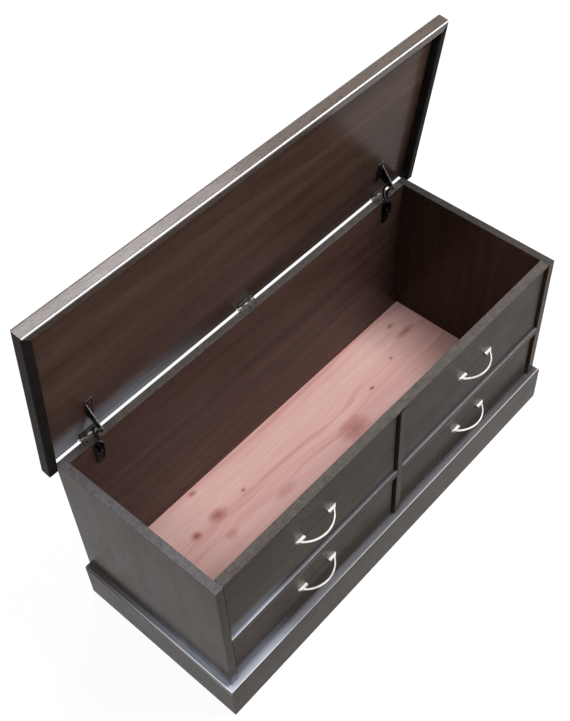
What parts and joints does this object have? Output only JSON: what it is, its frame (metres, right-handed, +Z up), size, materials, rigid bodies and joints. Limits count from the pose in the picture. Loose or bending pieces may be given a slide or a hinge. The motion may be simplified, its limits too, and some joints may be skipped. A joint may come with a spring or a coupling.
{
  "type": "cedar chest",
  "caption": "Long low cedar chest with a lipped hinged lid held open by slotted stays, false drawer fronts with bow pulls, and a plinth moulding round the foot.",
  "frame": {"origin": "on the ground at the centre of the carcass footprint, between the outer faces of the sides, front and back", "axes": "+X along the chest to the right when facing the front, -Y out of the front with the pulls, +Z up"},
  "size_m": [1.17, 0.4916, 0.9865],
  "materials": {
    "finished_wood": "dark brown stain under a satin clear coat",
    "raw_cedar": "bare planed red cedar",
    "hinge_steel": "dark bronzed steel",
    "screw_steel": "dark bronzed steel",
    "stay_metal": "dark bronzed steel",
    "rivet_steel": "plain steel",
    "pull_metal": "satin nickel"
  },
  "bodies": {
    "carcass": {"back_board": "finished_wood", "base_moulding_front": "finished_wood", "base_moulding_left": "finished_wood", "base_moulding_right": "finished_wood", "centre_stile": "finished_wood", "drawer_front_lower_left": "finished_wood", "drawer_front_lower_right": "finished_wood", "drawer_front_upper_left": "finished_wood", "drawer_front_upper_right": "finished_wood", "floor_board_1": "raw_cedar", "floor_board_2": "raw_cedar", "floor_board_3": "raw_cedar", "hinge_leaf_lower_left": "hinge_steel", "hinge_leaf_lower_middle": "hinge_steel", "hinge_leaf_lower_right": "hinge_steel", "hinge_pin_left": "hinge_steel", "hinge_pin_middle": "hinge_steel", "hinge_pin_right": "hinge_steel", "hinge_screws_rim": "screw_steel", "mid_rail_left": "finished_wood", "mid_rail_right": "finished_wood", "plinth_rail": "finished_wood", "pull_lower_left": "pull_metal", "pull_lower_right": "pull_metal", "pull_screws": "screw_steel", "pull_upper_left": "pull_metal", "pull_upper_right": "pull_metal", "side_left": "finished_wood", "side_right": "finished_wood", "stay_base_left": "stay_metal", "stay_base_right": "stay_metal", "stay_pivot_pin_left": "rivet_steel", "stay_pivot_pin_right": "rivet_steel", "stay_screws_back": "screw_steel", "sub_front": "finished_wood", "top_cap": "finished_wood"},
    "lid": {"lid_panel": "finished_wood", "lid_moulding_front": "finished_wood", "lid_moulding_left": "finished_wood", "lid_moulding_right": "finished_wood", "hinge_leaf_upper_left": "hinge_steel", "hinge_leaf_upper_middle": "hinge_steel", "hinge_leaf_upper_right": "hinge_steel", "hinge_screws_lid": "screw_steel", "stay_screws_lid": "screw_steel", "stay_lid_bracket_left": "stay_metal", "stay_lid_bracket_right": "stay_metal", "stay_slot_pin_left": "rivet_steel", "stay_slot_pin_right": "rivet_steel"},
    "left_stay_arm": {"stay_arm_left": "stay_metal"},
    "right_stay_arm": {"stay_arm_right": "stay_metal"}
  },
  "joints": [
    {"name": "lid_hinge", "type": "hinge", "parent": "carcass", "child": "lid", "pos_m": [0, 0.2275, 0.515], "axis": [1, 0, 0], "range_deg": [0, 81.5]},
    {"name": "left_stay_pivot", "type": "hinge", "parent": "carcass", "child": "left_stay_arm", "pos_m": [-0.4656, 0.192, 0.489], "axis": [1, 0, 0], "range_deg": [0, 110.9]},
    {"name": "right_stay_pivot", "type": "hinge", "parent": "carcass", "child": "right_stay_arm", "pos_m": [0.4656, 0.192, 0.489], "axis": [1, 0, 0], "range_deg": [0, 110.9]}
  ],
  "couplings": [
    {"joint": "left_stay_pivot", "follows": "lid_hinge", "ratio": 1.36},
    {"joint": "right_stay_pivot", "follows": "lid_hinge", "ratio": 1.36}
  ]
}
